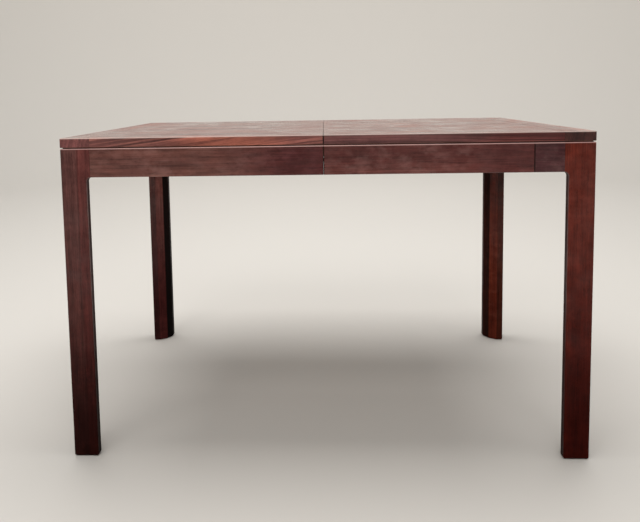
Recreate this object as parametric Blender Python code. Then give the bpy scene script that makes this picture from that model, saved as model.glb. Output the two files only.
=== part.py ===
"""Extending dining table: a split top on two leg-and-apron halves that draw apart on dovetailed slides."""

import math

import bmesh
import bpy
from mathutils import Matrix, Vector

# Closed table, in metres: X is its length, the front faces -Y, the floor is at zero height
TABLE_LENGTH = 1.190
TABLE_DEPTH = 0.800
TABLE_HEIGHT = 0.750

# Gaps: across the seam, at a glued or screwed joint, and around a piece that moves
SEAM_GAP = 0.0003
JOINT_GAP = 0.0003
RUNNING_GAP = 0.0003

# Top: panels tongued into solid lippings and end boards
TOP_THICKNESS = 0.0215
LIPPING_WIDTH = 0.012
END_BOARD_WIDTH = 0.068
TONGUE_LENGTH = 0.006
TONGUE_THICKNESS = 0.007
TOP_ARRIS = 0.0015
SEAM_ARRIS = 0.0008

# Aprons: a shadow line is rebated along their upper outer edge, under the top
APRON_THICKNESS = 0.020
APRON_HEIGHT = 0.068
REVEAL_HEIGHT = 0.0024
REVEAL_DEPTH = 0.005
REVEAL_ARRIS = 0.0018
SPLICE_LENGTH = 0.065
ARRIS = 0.002

# Legs: the inner arris is the edge where the two planed facets meet, measured from each outer face
LEG_WIDTH = 0.057
LEG_INNER_ARRIS = 0.043
LEG_FILLET = 0.010
FOOT_CHAMFER = 0.004

# Corner blocks, with the bolts and wing nuts that draw the legs into them
BLOCK_REACH = 0.085
BLOCK_HEIGHT = 0.050
BLOCK_TIP = 0.008
BOLT_RADIUS = 0.004
BOLT_BITE = 0.028
BOLT_STICK_OUT = 0.018
NUT_FLANGE_RADIUS = 0.009
NUT_FLANGE_THICKNESS = 0.0018
NUT_HUB_RADIUS = 0.0065
NUT_HUB_HEIGHT = 0.0095
WING_SPAN = 0.036
WING_HEIGHT = 0.0165
WING_THICKNESS = 0.0024
WING_CORNER = 0.0020

# Cleats that hold the top down on the frame
CLEAT_WIDTH = 0.018
CLEAT_HEIGHT = 0.018
CLEAT_SETBACK = 0.020

# Slides: the middle member has a dovetail tongue along each side
SLIDE_THICKNESS = 0.022
SLIDE_HEIGHT = 0.042
SLIDE_END_GAP = 0.012
SLIDE_REACH = 0.330
DOVETAIL_DEPTH = 0.007
DOVETAIL_NECK = 0.012
DOVETAIL_TIP = 0.018
MIDDLE_DROP = 0.002
TIE_WIDTH = 0.040
TIE_THICKNESS = 0.012
TIE_SETBACK = 0.150

# Table locks: the lever swings from the left half over a stud on the right half
LOCK_TO_CLEAT = 0.003
LOCK_TO_SLIDE = 0.006
LOCK_PLATE_LENGTH = 0.048
LOCK_PLATE_WIDTH = 0.026
LOCK_PLATE_THICKNESS = 0.002
LOCK_PLATE_CORNER = 0.004
LOCK_PIVOT_SETBACK = 0.030
LOCK_PIVOT_RADIUS = 0.004
LOCK_HEAD_RADIUS = 0.0075
LOCK_HEAD_THICKNESS = 0.0015
KEEPER_SETBACK = 0.020
KEEPER_PLATE_LENGTH = 0.032
STUD_RADIUS = 0.0035
STUD_HEAD_RADIUS = 0.006
STUD_SLACK = 0.0008
LEVER_THICKNESS = 0.003
LEVER_HUB_RADIUS = 0.011
LEVER_JAW = 0.0045
LEVER_HEEL = 0.010
LEVER_MOUTH = 0.0065
HANDLE_LENGTH = 0.050
HANDLE_WIDTH = 0.013

# Alignment pins across the seam
PIN_RADIUS = 0.004
PIN_BITE = 0.022
PIN_STICK_OUT = 0.012
PIN_INSET = 0.070
PIN_CHAMFER = 0.001

# Levels and distances that follow from the sizes above
HALF_LENGTH = TABLE_LENGTH / 2
HALF_DEPTH = TABLE_DEPTH / 2
SEAM = SEAM_GAP / 2
TOP_UNDERSIDE = TABLE_HEIGHT - TOP_THICKNESS
FRAME_TOP = TOP_UNDERSIDE - JOINT_GAP
APRON_BOTTOM = TOP_UNDERSIDE - APRON_HEIGHT
REVEAL_BOTTOM = TOP_UNDERSIDE - REVEAL_HEIGHT
LEG_HEAD = LEG_WIDTH + LEG_FILLET
APRON_START = LEG_HEAD + JOINT_GAP
APRON_MIDDLE = (APRON_BOTTOM + REVEAL_BOTTOM) / 2
PANEL_END = HALF_LENGTH - END_BOARD_WIDTH - JOINT_GAP
BLOCK_END = APRON_THICKNESS + BLOCK_REACH
BOLT_LEVEL = FRAME_TOP - BLOCK_HEIGHT / 2
CLEAT_INNER_FACE = APRON_THICKNESS + JOINT_GAP + CLEAT_WIDTH
PIN_LINE = HALF_DEPTH - PIN_INSET
LEVER_THROW = LOCK_PIVOT_SETBACK + KEEPER_SETBACK
LEVER_NOSE = LEVER_THROW + STUD_RADIUS + STUD_SLACK + LEVER_JAW
LEVER_SWEEP = max(LEVER_NOSE, HANDLE_LENGTH)
LOCK_LINE = HALF_DEPTH - CLEAT_INNER_FACE - LOCK_TO_CLEAT - LEVER_SWEEP
SLIDE_OUTER_FACE = LOCK_LINE - LEVER_SWEEP - LOCK_TO_SLIDE
SLIDE_LINE = SLIDE_OUTER_FACE - SLIDE_THICKNESS * 1.5 - RUNNING_GAP

# Facets on round pieces, how far a cutter runs past what it cuts, and the step that sorts corners
ROUND_STEPS = 20
FILLET_STEPS = 6
OVERSHOOT = 0.004
ORDER_STEP = 0.00001

# Frames of the four corners: local X runs along one side of the table, local Y runs inwards
CORNERS = {
    "front_left": Matrix.Translation((-HALF_LENGTH, -HALF_DEPTH, 0)),
    "front_right": Matrix.Translation((HALF_LENGTH, -HALF_DEPTH, 0)) @ Matrix.Rotation(math.pi / 2, 4, "Z"),
    "back_right": Matrix.Translation((HALF_LENGTH, HALF_DEPTH, 0)) @ Matrix.Rotation(math.pi, 4, "Z"),
    "back_left": Matrix.Translation((-HALF_LENGTH, HALF_DEPTH, 0)) @ Matrix.Rotation(-math.pi / 2, 4, "Z"),
}
DIAGONAL = Matrix.Rotation(math.pi / 4, 4, "Z") @ Matrix.Rotation(math.pi / 2, 4, "Y")


def finish(name, colour, roughness, metallic=0.0):
    """One plain surface finish."""
    material = bpy.data.materials.new(name)
    material.use_nodes = True
    shader = material.node_tree.nodes["Principled BSDF"]
    shader.inputs["Base Color"].default_value = (*colour, 1.0)
    shader.inputs["Roughness"].default_value = roughness
    shader.inputs["Metallic"].default_value = metallic
    return material


def carrier(name):
    """An empty that carries all the pieces of one moving body."""
    empty = bpy.data.objects.new(name, None)
    bpy.context.collection.objects.link(empty)
    return empty


def block(low, high):
    """A rectangular solid between two opposite corners, given in any order."""
    bm = bmesh.new()
    bmesh.ops.create_cube(bm, size=1.0)
    low = Vector(low)
    high = Vector(high)
    size = [abs(b - a) for a, b in zip(low, high)]
    bmesh.ops.scale(bm, vec=size, verts=bm.verts)
    bmesh.ops.translate(bm, vec=(low + high) / 2, verts=bm.verts)
    return bm


def prism(outline, length):
    """A flat outline in X and Y, drawn upwards by a length."""
    bm = bmesh.new()
    face = bm.faces.new([bm.verts.new((x, y, 0)) for x, y in outline])
    raised = bmesh.ops.extrude_face_region(bm, geom=[face])
    top = [item for item in raised["geom"] if isinstance(item, bmesh.types.BMVert)]
    bmesh.ops.translate(bm, vec=(0, 0, length), verts=top)
    bmesh.ops.recalc_face_normals(bm, faces=bm.faces)
    return bm


def rod(radius, start, end):
    """A round rod along Z."""
    bm = bmesh.new()
    bmesh.ops.create_cone(
        bm, cap_ends=True, segments=ROUND_STEPS, radius1=radius, radius2=radius, depth=end - start
    )
    bmesh.ops.translate(bm, vec=(0, 0, (start + end) / 2), verts=bm.verts)
    return bm


def moved(bm, matrix):
    """The same solid, carried by a matrix, with its faces still pointing out."""
    bmesh.ops.transform(bm, matrix=matrix, verts=bm.verts)
    bmesh.ops.recalc_face_normals(bm, faces=bm.faces)
    return bm


def in_order(bm):
    """Numbers the corners, edges and faces by where they lie, so that every build gives the same mesh."""

    def middle(element):
        corners = getattr(element, "verts", [element])
        centre = sum((vert.co for vert in corners), Vector()) / len(corners)
        return tuple(round(number / ORDER_STEP) for number in centre)

    for elements in (bm.verts, bm.edges, bm.faces):
        rank = {element: place for place, element in enumerate(sorted(elements, key=middle))}
        elements.sort(key=rank.get)
        elements.index_update()
    return bm


def edges_where(bm, test):
    """The edges whose two ends both satisfy a test."""
    return [edge for edge in bm.edges if all(test(vert.co) for vert in edge.verts)]


def soften(bm, radius, edges, segments=2):
    """Rounds some edges of a solid."""
    bmesh.ops.bevel(
        bm, geom=edges, offset=radius, segments=segments, profile=0.5, affect="EDGES", material=-1
    )
    return in_order(bm)


def moulding(outline, start, end):
    """A section in Y and Z, drawn along X."""
    bar = prism(outline, end - start)
    return moved(bar, Matrix(((0, 0, 1, start), (1, 0, 0, 0), (0, 1, 0, 0), (0, 0, 0, 1))))


def combine(operation, base, *tools):
    """Joins solids to a base, or cuts them from it."""
    pieces = []
    for bm in (base, *tools):
        mesh = bpy.data.meshes.new("step")
        in_order(bm).to_mesh(mesh)
        bm.free()
        pieces.append(bpy.data.objects.new("step", mesh))
        bpy.context.collection.objects.link(pieces[-1])
    for tool in pieces[1:]:
        step = pieces[0].modifiers.new("step", "BOOLEAN")
        step.operation = operation
        step.solver = "EXACT"
        step.object = tool
    graph = bpy.context.evaluated_depsgraph_get()
    mesh = bpy.data.meshes.new_from_object(pieces[0].evaluated_get(graph))
    result = bmesh.new()
    result.from_mesh(mesh)
    bpy.data.meshes.remove(mesh)
    for piece in pieces:
        bpy.data.meshes.remove(piece.data)
    return in_order(result)


def near(a, b):
    """True where two lengths are the same, apart from rounding."""
    return abs(a - b) < JOINT_GAP / 10


def add(name, bm, body, material, matrix=Matrix.Identity(4), smooth=False):
    """Makes one named piece of a body from a solid in its own frame."""
    mesh = bpy.data.meshes.new(name)
    in_order(bm).to_mesh(mesh)
    bm.free()
    if smooth:
        mesh.shade_smooth()
        mesh.set_sharp_from_angle(angle=math.radians(35))
    mesh.materials.append(material)
    piece = bpy.data.objects.new(name, mesh)
    bpy.context.collection.objects.link(piece)
    piece.parent = body
    piece.matrix_world = matrix
    return piece


def pin_holes(side):
    """Cutters for the pins in a half's top edge: seats on the right, open sockets on the left."""
    depth = PIN_BITE if side > 0 else PIN_STICK_OUT - SEAM_GAP
    holes = []
    for place in (-PIN_LINE, 0, PIN_LINE):
        hole = rod(PIN_RADIUS + JOINT_GAP, -OVERSHOOT, depth + JOINT_GAP)
        level = TABLE_HEIGHT - TOP_THICKNESS / 2
        turn = Matrix.Rotation(side * math.pi / 2, 4, "Y")
        holes.append(moved(hole, Matrix.Translation((side * SEAM, place, level)) @ turn))
    return holes


def add_top(side, name, body, veneer, edging):
    """Half of the top: a panel tongued into a front lipping, a back lipping and an end board."""
    tongue_low = TABLE_HEIGHT - TOP_THICKNESS / 2 - TONGUE_THICKNESS / 2
    tongue_high = tongue_low + TONGUE_THICKNESS
    groove_low = tongue_low - JOINT_GAP
    groove_high = tongue_high + JOINT_GAP
    edge = HALF_DEPTH - LIPPING_WIDTH - JOINT_GAP
    ends = sorted((side * SEAM, side * PANEL_END))

    back_of_panel = [
        (edge, TOP_UNDERSIDE),
        (edge, tongue_low),
        (edge + TONGUE_LENGTH, tongue_low),
        (edge + TONGUE_LENGTH, tongue_high),
        (edge, tongue_high),
        (edge, TABLE_HEIGHT),
    ]
    front_of_panel = [(-y, z) for y, z in reversed(back_of_panel)]
    panel = moulding(back_of_panel + front_of_panel, *ends)
    seam_edges = edges_where(panel, lambda at: near(at.x, side * SEAM) and near(at.z, TABLE_HEIGHT))
    soften(panel, SEAM_ARRIS, seam_edges)
    end_tongue = block(
        (side * (PANEL_END - TONGUE_LENGTH), -edge + LIPPING_WIDTH, tongue_low),
        (side * (PANEL_END + TONGUE_LENGTH), edge - LIPPING_WIDTH, tongue_high),
    )
    panel = combine("UNION", panel, end_tongue)
    add(f"top_panel_{name}", combine("DIFFERENCE", panel, *pin_holes(side)), body, veneer)

    inside = HALF_DEPTH - LIPPING_WIDTH
    lipping_section = [
        (inside, TOP_UNDERSIDE),
        (HALF_DEPTH, TOP_UNDERSIDE),
        (HALF_DEPTH, TABLE_HEIGHT),
        (inside, TABLE_HEIGHT),
        (inside, groove_high),
        (inside + TONGUE_LENGTH, groove_high),
        (inside + TONGUE_LENGTH, groove_low),
        (inside, groove_low),
    ]
    for face, word in ((-1, "front"), (1, "back")):
        strip = moulding([(face * y, z) for y, z in lipping_section], *ends)
        seam_edges = edges_where(strip, lambda at: near(at.x, side * SEAM) and near(at.z, TABLE_HEIGHT))
        seam_edges += edges_where(strip, lambda at: near(at.x, side * SEAM) and near(at.y, face * HALF_DEPTH))
        soften(strip, SEAM_ARRIS, seam_edges)
        for level in (TOP_UNDERSIDE, TABLE_HEIGHT):
            along = edges_where(strip, lambda at: near(at.y, face * HALF_DEPTH) and near(at.z, level))
            soften(strip, TOP_ARRIS, along)
        add(f"top_{word}_lipping_{name}", strip, body, edging)

    joint_face = side * (HALF_LENGTH - END_BOARD_WIDTH)
    board = block((joint_face, -HALF_DEPTH, TOP_UNDERSIDE), (side * HALF_LENGTH, HALF_DEPTH, TABLE_HEIGHT))
    joint_edges = edges_where(board, lambda at: near(at.x, joint_face))
    soften(board, TOP_ARRIS, [edge for edge in board.edges if edge not in joint_edges])
    groove = block(
        (joint_face - side * OVERSHOOT, -edge + LIPPING_WIDTH - JOINT_GAP, groove_low),
        (joint_face + side * TONGUE_LENGTH, edge - LIPPING_WIDTH + JOINT_GAP, groove_high),
    )
    add(f"top_end_board_{name}", combine("DIFFERENCE", board, groove), body, edging)


def apron(start, end, seam=None):
    """A length of apron along X, its outer face at Y zero, rebated under the top and eased at the seam."""
    section = [
        (0, APRON_BOTTOM),
        (APRON_THICKNESS, APRON_BOTTOM),
        (APRON_THICKNESS, FRAME_TOP),
        (REVEAL_DEPTH, FRAME_TOP),
        (REVEAL_DEPTH, REVEAL_BOTTOM),
        (0, REVEAL_BOTTOM),
    ]
    bar = moulding(section, start, end)
    if seam is not None:
        seam_edges = edges_where(bar, lambda at: near(at.x, seam) and near(at.y, 0))
        seam_edges += edges_where(bar, lambda at: near(at.x, seam) and near(at.z, APRON_BOTTOM))
        soften(bar, SEAM_ARRIS, seam_edges)
    for y in (0, APRON_THICKNESS):
        soften(bar, ARRIS, edges_where(bar, lambda at: near(at.y, y) and near(at.z, APRON_BOTTOM)))
    lip = edges_where(bar, lambda at: near(at.y, 0) and near(at.z, REVEAL_BOTTOM))
    return soften(bar, REVEAL_ARRIS, lip)


def apron_socket(end, direction, depth):
    """A cutter for the pin in an apron's end, at the seam."""
    hole = rod(PIN_RADIUS + JOINT_GAP, -OVERSHOOT, depth + JOINT_GAP)
    place = Matrix.Translation((end, APRON_THICKNESS / 2, APRON_MIDDLE))
    return moved(hole, place @ Matrix.Rotation(direction * math.pi / 2, 4, "Y"))


def add_aprons(left, right, wood, splice_wood):
    """The aprons of both halves, one splice block and the pins across the seam."""
    open_depth = PIN_STICK_OUT - SEAM_GAP
    before_seam = HALF_LENGTH - SEAM
    after_seam = HALF_LENGTH + SEAM
    front_end = TABLE_LENGTH - APRON_START
    splice_start = front_end - SPLICE_LENGTH

    front = CORNERS["front_left"]
    bar = apron(APRON_START, before_seam, seam=before_seam)
    bar = combine("DIFFERENCE", bar, apron_socket(before_seam, -1, open_depth))
    add("apron_front_left", bar, left, wood, front)
    bar = apron(after_seam, splice_start - JOINT_GAP, seam=after_seam)
    bar = combine("DIFFERENCE", bar, apron_socket(after_seam, 1, PIN_BITE))
    add("apron_front_right", bar, right, wood, front)
    add("apron_front_splice", apron(splice_start, front_end), right, splice_wood, front)

    back = CORNERS["back_right"]
    bar = apron(APRON_START, before_seam, seam=before_seam)
    bar = combine("DIFFERENCE", bar, apron_socket(before_seam, -1, PIN_BITE))
    add("apron_back_right", bar, right, wood, back)
    bar = apron(after_seam, front_end, seam=after_seam)
    bar = combine("DIFFERENCE", bar, apron_socket(after_seam, 1, open_depth))
    add("apron_back_left", bar, left, wood, back)

    end_stop = TABLE_DEPTH - APRON_START
    add("apron_end_left", apron(APRON_START, end_stop), left, wood, CORNERS["back_left"])
    add("apron_end_right", apron(APRON_START, end_stop), right, wood, CORNERS["front_right"])


def below_ear():
    """The cutter that frees a leg's shaft under its head, with a hollow curve up to the apron's underside."""
    centre_z = APRON_BOTTOM - LEG_FILLET
    past = LEG_HEAD + OVERSHOOT
    outline = [(LEG_WIDTH, -OVERSHOOT), (past, -OVERSHOOT), (past, APRON_BOTTOM)]
    for step in range(FILLET_STEPS + 1):
        angle = math.pi / 2 * (1 + step / FILLET_STEPS)
        outline.append((LEG_HEAD + LEG_FILLET * math.cos(angle), centre_z + LEG_FILLET * math.sin(angle)))
    cutter = prism(outline, APRON_THICKNESS + 2 * OVERSHOOT)
    return moved(cutter, Matrix(((1, 0, 0, 0), (0, 0, 1, -OVERSHOOT), (0, 1, 0, 0), (0, 0, 0, 1))))


def on_front_arris(at):
    """True on the edge that runs up a leg's front face and round under the apron."""
    on_shaft = near(at.x, LEG_WIDTH)
    on_curve = near(math.hypot(at.x - LEG_HEAD, at.z - APRON_BOTTOM + LEG_FILLET), LEG_FILLET)
    return near(at.y, 0) and at.z < APRON_BOTTOM + OVERSHOOT and (on_shaft or on_curve)


def on_reveal_lip(at):
    """True on the outer edge of a leg's shoulder, under the top."""
    return near(at.z, REVEAL_BOTTOM) and min(at.x, at.y) < ARRIS


def leg():
    """A leg in its corner's frame: square outer faces, returns as deep as the aprons, planed inner facets."""
    outline = [
        (0, 0),
        (LEG_HEAD, 0),
        (LEG_HEAD, APRON_THICKNESS),
        (LEG_WIDTH, APRON_THICKNESS),
        (LEG_INNER_ARRIS, LEG_INNER_ARRIS),
        (APRON_THICKNESS, LEG_WIDTH),
        (APRON_THICKNESS, LEG_HEAD),
        (0, LEG_HEAD),
    ]
    swap = Matrix(((0, 1, 0, 0), (1, 0, 0, 0), (0, 0, 1, 0), (0, 0, 0, 1)))
    post = combine("DIFFERENCE", prism(outline, FRAME_TOP), below_ear(), moved(below_ear(), swap))

    arrises = edges_where(post, lambda at: near(at.x, 0) and near(at.y, 0))
    arrises += edges_where(post, lambda at: near(at.x, LEG_INNER_ARRIS) and near(at.y, LEG_INNER_ARRIS))
    arrises += edges_where(post, on_front_arris)
    arrises += edges_where(post, lambda at: on_front_arris(swap @ at))
    soften(post, ARRIS, arrises)
    soften(post, FOOT_CHAMFER, edges_where(post, lambda at: near(at.z, 0)), segments=1)

    past = LEG_HEAD + OVERSHOOT
    rebate = block((-OVERSHOOT, -OVERSHOOT, REVEAL_BOTTOM), (past, REVEAL_DEPTH, FRAME_TOP + OVERSHOOT))
    side_rebate = moved(rebate.copy(), swap)
    post = combine("DIFFERENCE", post, rebate, side_rebate)
    soften(post, REVEAL_ARRIS, edges_where(post, on_reveal_lip))
    return combine("DIFFERENCE", post, bolt_hole())


def along_diagonal(bm):
    """Lays a solid that stands along Z on a corner's bolt line, keeping its distance from the corner."""
    return moved(bm, Matrix.Translation((0, 0, BOLT_LEVEL)) @ DIAGONAL)


def bolt_ends():
    """Where a hanger bolt starts, where it leaves its block and where it ends, along the diagonal."""
    arris = LEG_INNER_ARRIS * math.sqrt(2)
    block_face = (BLOCK_END + APRON_THICKNESS + JOINT_GAP + BLOCK_TIP) / math.sqrt(2)
    return arris - BOLT_BITE, block_face, block_face + BOLT_STICK_OUT


def bolt_hole():
    """The cutter for a hanger bolt, through the corner block and into the leg."""
    start, face, end = bolt_ends()
    return along_diagonal(rod(BOLT_RADIUS + JOINT_GAP, start - JOINT_GAP, end))


def corner_block():
    """A block that fills the corner behind a leg, notched over the leg's facets and glued to both aprons."""
    shift = JOINT_GAP / math.sqrt(2)
    face = APRON_THICKNESS + JOINT_GAP
    outline = [
        (LEG_WIDTH + shift, face),
        (BLOCK_END, face),
        (BLOCK_END, face + BLOCK_TIP),
        (face + BLOCK_TIP, BLOCK_END),
        (face, BLOCK_END),
        (face, LEG_WIDTH + shift),
        (LEG_INNER_ARRIS + shift, LEG_INNER_ARRIS + shift),
    ]
    solid = prism(outline, BLOCK_HEIGHT)
    moved(solid, Matrix.Translation((0, 0, FRAME_TOP - BLOCK_HEIGHT)))
    return combine("DIFFERENCE", solid, bolt_hole())


def hanger_bolt():
    """A headless bolt, screwed into the leg."""
    start, face, end = bolt_ends()
    return along_diagonal(rod(BOLT_RADIUS, start, end))


def wing_nut():
    """A flanged nut with two raised wings, run up against the corner block."""
    bore = BOLT_RADIUS + JOINT_GAP
    profile = [
        (bore, 0),
        (NUT_FLANGE_RADIUS, 0),
        (NUT_FLANGE_RADIUS, NUT_FLANGE_THICKNESS),
        (NUT_HUB_RADIUS, NUT_FLANGE_THICKNESS),
        (NUT_HUB_RADIUS, NUT_HUB_HEIGHT),
        (bore, NUT_HUB_HEIGHT),
    ]
    hub = bmesh.new()
    ring = [hub.verts.new((radius, 0, level)) for radius, level in profile]
    edges = [hub.edges.new((ring[i - 1], ring[i])) for i in range(len(ring))]
    bmesh.ops.spin(
        hub,
        geom=[*ring, *edges],
        cent=(0, 0, 0),
        axis=(0, 0, 1),
        angle=2 * math.pi,
        steps=ROUND_STEPS,
        use_merge=True,
    )
    bmesh.ops.recalc_face_normals(hub, faces=hub.faces)

    root = (bore + NUT_HUB_RADIUS) / 2
    tip = WING_SPAN / 2
    shoulder = (NUT_HUB_RADIUS + tip) / 2
    wing_outline = [
        (root, NUT_FLANGE_THICKNESS + JOINT_GAP),
        (NUT_HUB_RADIUS, NUT_FLANGE_THICKNESS + JOINT_GAP),
        (tip, NUT_HUB_HEIGHT),
        (tip, WING_HEIGHT),
        (shoulder, WING_HEIGHT),
        (NUT_HUB_RADIUS, NUT_HUB_HEIGHT - NUT_FLANGE_THICKNESS),
        (root, NUT_HUB_HEIGHT - NUT_FLANGE_THICKNESS),
    ]
    wings = []
    for turn in (0, math.pi):
        wing = prism(wing_outline, WING_THICKNESS)
        stand = Matrix(((1, 0, 0, 0), (0, 0, 1, -WING_THICKNESS / 2), (0, 1, 0, 0), (0, 0, 0, 1)))
        moved(wing, Matrix.Rotation(turn, 4, "Z") @ stand)
        for x in (tip, shoulder):
            corner = edges_where(wing, lambda at: near(at.z, WING_HEIGHT) and near(abs(at.x), x))
            soften(wing, WING_CORNER, corner)
        wings.append(wing)
    nut = combine("UNION", hub, *wings)
    start, face, end = bolt_ends()
    moved(nut, Matrix.Translation((0, 0, face + JOINT_GAP)))
    return along_diagonal(nut)


def cleat(start, end):
    """A square strip along an apron's inner face, under the top."""
    face = APRON_THICKNESS + JOINT_GAP
    return block((start, face, FRAME_TOP - CLEAT_HEIGHT), (end, face + CLEAT_WIDTH, FRAME_TOP))


def add_cleats(left, right, wood):
    """Cleats between the corner blocks, short of the seam on the long sides."""
    first = BLOCK_END + JOINT_GAP
    seam_stop = HALF_LENGTH - CLEAT_SETBACK
    seam_start = HALF_LENGTH + CLEAT_SETBACK
    last = TABLE_LENGTH - first
    add("cleat_front_left", cleat(first, seam_stop), left, wood, CORNERS["front_left"])
    add("cleat_front_right", cleat(seam_start, last), right, wood, CORNERS["front_left"])
    add("cleat_back_right", cleat(first, seam_stop), right, wood, CORNERS["back_right"])
    add("cleat_back_left", cleat(seam_start, last), left, wood, CORNERS["back_right"])
    add("cleat_end_left", cleat(first, TABLE_DEPTH - first), left, wood, CORNERS["back_left"])
    add("cleat_end_right", cleat(first, TABLE_DEPTH - first), right, wood, CORNERS["front_right"])


def grooved_section():
    """An outer slide member, its dovetail groove open at Y zero."""
    low = FRAME_TOP - SLIDE_HEIGHT
    centre = FRAME_TOP - SLIDE_HEIGHT / 2
    mouth = DOVETAIL_NECK / 2 + RUNNING_GAP
    floor = DOVETAIL_TIP / 2 + RUNNING_GAP
    return [
        (0, low),
        (SLIDE_THICKNESS, low),
        (SLIDE_THICKNESS, FRAME_TOP),
        (0, FRAME_TOP),
        (0, centre + mouth),
        (DOVETAIL_DEPTH, centre + floor),
        (DOVETAIL_DEPTH, centre - floor),
        (0, centre - mouth),
    ]


def tongued_section():
    """A middle slide member, a dovetail tongue on each side, about Y zero."""
    low = FRAME_TOP - SLIDE_HEIGHT - MIDDLE_DROP
    high = FRAME_TOP - MIDDLE_DROP
    centre = FRAME_TOP - SLIDE_HEIGHT / 2
    half = SLIDE_THICKNESS / 2
    neck = DOVETAIL_NECK / 2
    tip = DOVETAIL_TIP / 2
    out = half + DOVETAIL_DEPTH
    right_side = [
        (half, low),
        (half, centre - neck),
        (out, centre - tip),
        (out, centre + tip),
        (half, centre + neck),
        (half, high),
    ]
    left_side = [(-y, z) for y, z in reversed(right_side)]
    return right_side + left_side


def add_slides(left, right, carriage, wood):
    """Two sets of slides: the outer members screwed under the halves, the middle ones tied together."""
    far = HALF_LENGTH - CLEAT_INNER_FACE - SLIDE_END_GAP
    middle_end = (far + SLIDE_REACH) / 2
    face = SLIDE_THICKNESS / 2 + RUNNING_GAP
    for way, word in ((-1, "front"), (1, "back")):
        centre = way * SLIDE_LINE
        outward = Matrix.Translation((0, centre + way * face, 0)) @ Matrix.Diagonal((1, way, 1, 1))
        inward = Matrix.Translation((0, centre - way * face, 0)) @ Matrix.Diagonal((1, -way, 1, 1))
        fixed_left = moved(moulding(grooved_section(), -far, SLIDE_REACH), outward)
        fixed_right = moved(moulding(grooved_section(), -SLIDE_REACH, far), inward)
        running = moulding(tongued_section(), -middle_end, middle_end)
        add(f"slide_{word}_left", fixed_left, left, wood)
        add(f"slide_{word}_right", fixed_right, right, wood)
        add(f"slide_{word}_middle", running, carriage, wood, Matrix.Translation((0, centre, 0)))

    high = FRAME_TOP - SLIDE_HEIGHT - MIDDLE_DROP - JOINT_GAP
    reach = SLIDE_LINE + SLIDE_THICKNESS / 2
    for way, word in ((-1, "left"), (1, "right")):
        centre = way * (middle_end - TIE_SETBACK)
        low_corner = (centre - TIE_WIDTH / 2, -reach, high - TIE_THICKNESS)
        tie = block(low_corner, (centre + TIE_WIDTH / 2, reach, high))
        soften(tie, ARRIS, edges_where(tie, lambda at: near(at.z, low_corner[2])), segments=1)
        add(f"slide_tie_{word}", tie, carriage, wood)


def lever():
    """A lock lever about its pivot, drawn latched along X: a hooked arm, a hub and a finger handle."""
    throw = LEVER_THROW
    slot = STUD_RADIUS + STUD_SLACK
    thick = LEVER_THICKNESS
    arm = block((0, -LEVER_HEEL, 0), (LEVER_NOSE, LEVER_MOUTH, thick))
    nose = edges_where(arm, lambda at: near(at.x, LEVER_NOSE) and at.y < 0)
    soften(arm, LEVER_JAW, nose, segments=4)
    hub = rod(LEVER_HUB_RADIUS, 0, thick)
    handle = block((-HANDLE_LENGTH, -HANDLE_WIDTH / 2, 0), (0, HANDLE_WIDTH / 2, thick))
    for face in (-1, 1):
        edge = face * HANDLE_WIDTH / 2
        corner = edges_where(handle, lambda at: near(at.x, -HANDLE_LENGTH) and near(at.y, edge))
        soften(handle, HANDLE_WIDTH / 3, corner, segments=3)
    plate = combine("UNION", arm, hub, handle)
    bore = rod(LOCK_PIVOT_RADIUS + RUNNING_GAP, -OVERSHOOT, thick + OVERSHOOT)
    seat = rod(slot, -OVERSHOOT, thick + OVERSHOOT)
    moved(seat, Matrix.Translation((throw, 0, 0)))
    way_in = block((throw - slot, 0, -OVERSHOOT), (throw + slot, LEVER_MOUTH + OVERSHOOT, thick + OVERSHOOT))
    return combine("DIFFERENCE", plate, bore, seat, way_in)


def studded_plate(length, stud_radius, head_radius):
    """A small plate that hangs a headed stud below it, about the stud's axis, with its top at Z zero."""
    end = length / 2
    edge = LOCK_PLATE_WIDTH / 2
    plate = block((-end, -edge, -LOCK_PLATE_THICKNESS), (end, edge, 0))
    for x, y in ((-end, -edge), (-end, edge), (end, -edge), (end, edge)):
        soften(plate, LOCK_PLATE_CORNER, edges_where(plate, lambda at: near(at.x, x) and near(at.y, y)))
    head_top = -LOCK_PLATE_THICKNESS - LEVER_THICKNESS - 2 * RUNNING_GAP
    stud = rod(stud_radius, head_top - LOCK_HEAD_THICKNESS / 2, -LOCK_PLATE_THICKNESS / 2)
    head = rod(head_radius, head_top - LOCK_HEAD_THICKNESS, head_top)
    return combine("UNION", plate, stud, head)


def add_locks(left, right, steel, brass):
    """A lock near each long side, on the underside of the top at the seam."""
    for way, word in ((-1, "front"), (1, "back")):
        place = way * LOCK_LINE
        pivot = Vector((-LOCK_PIVOT_SETBACK, place, FRAME_TOP))
        stud = Vector((KEEPER_SETBACK, place, FRAME_TOP))
        base = studded_plate(LOCK_PLATE_LENGTH, LOCK_PIVOT_RADIUS, LOCK_HEAD_RADIUS)
        keeper = studded_plate(KEEPER_PLATE_LENGTH, STUD_RADIUS, STUD_HEAD_RADIUS)
        add(f"lock_base_{word}", base, left, steel, Matrix.Translation(pivot), smooth=True)
        add(f"lock_keeper_{word}", keeper, right, steel, Matrix.Translation(stud), smooth=True)
        level = pivot - Vector((0, 0, LOCK_PLATE_THICKNESS + RUNNING_GAP + LEVER_THICKNESS))
        unlatched = Matrix.Translation(level) @ Matrix.Rotation(-math.pi / 2, 4, "Z")
        add(f"lock_lever_{word}", lever(), carrier(f"lock_{word}"), brass, unlatched, smooth=True)


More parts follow.
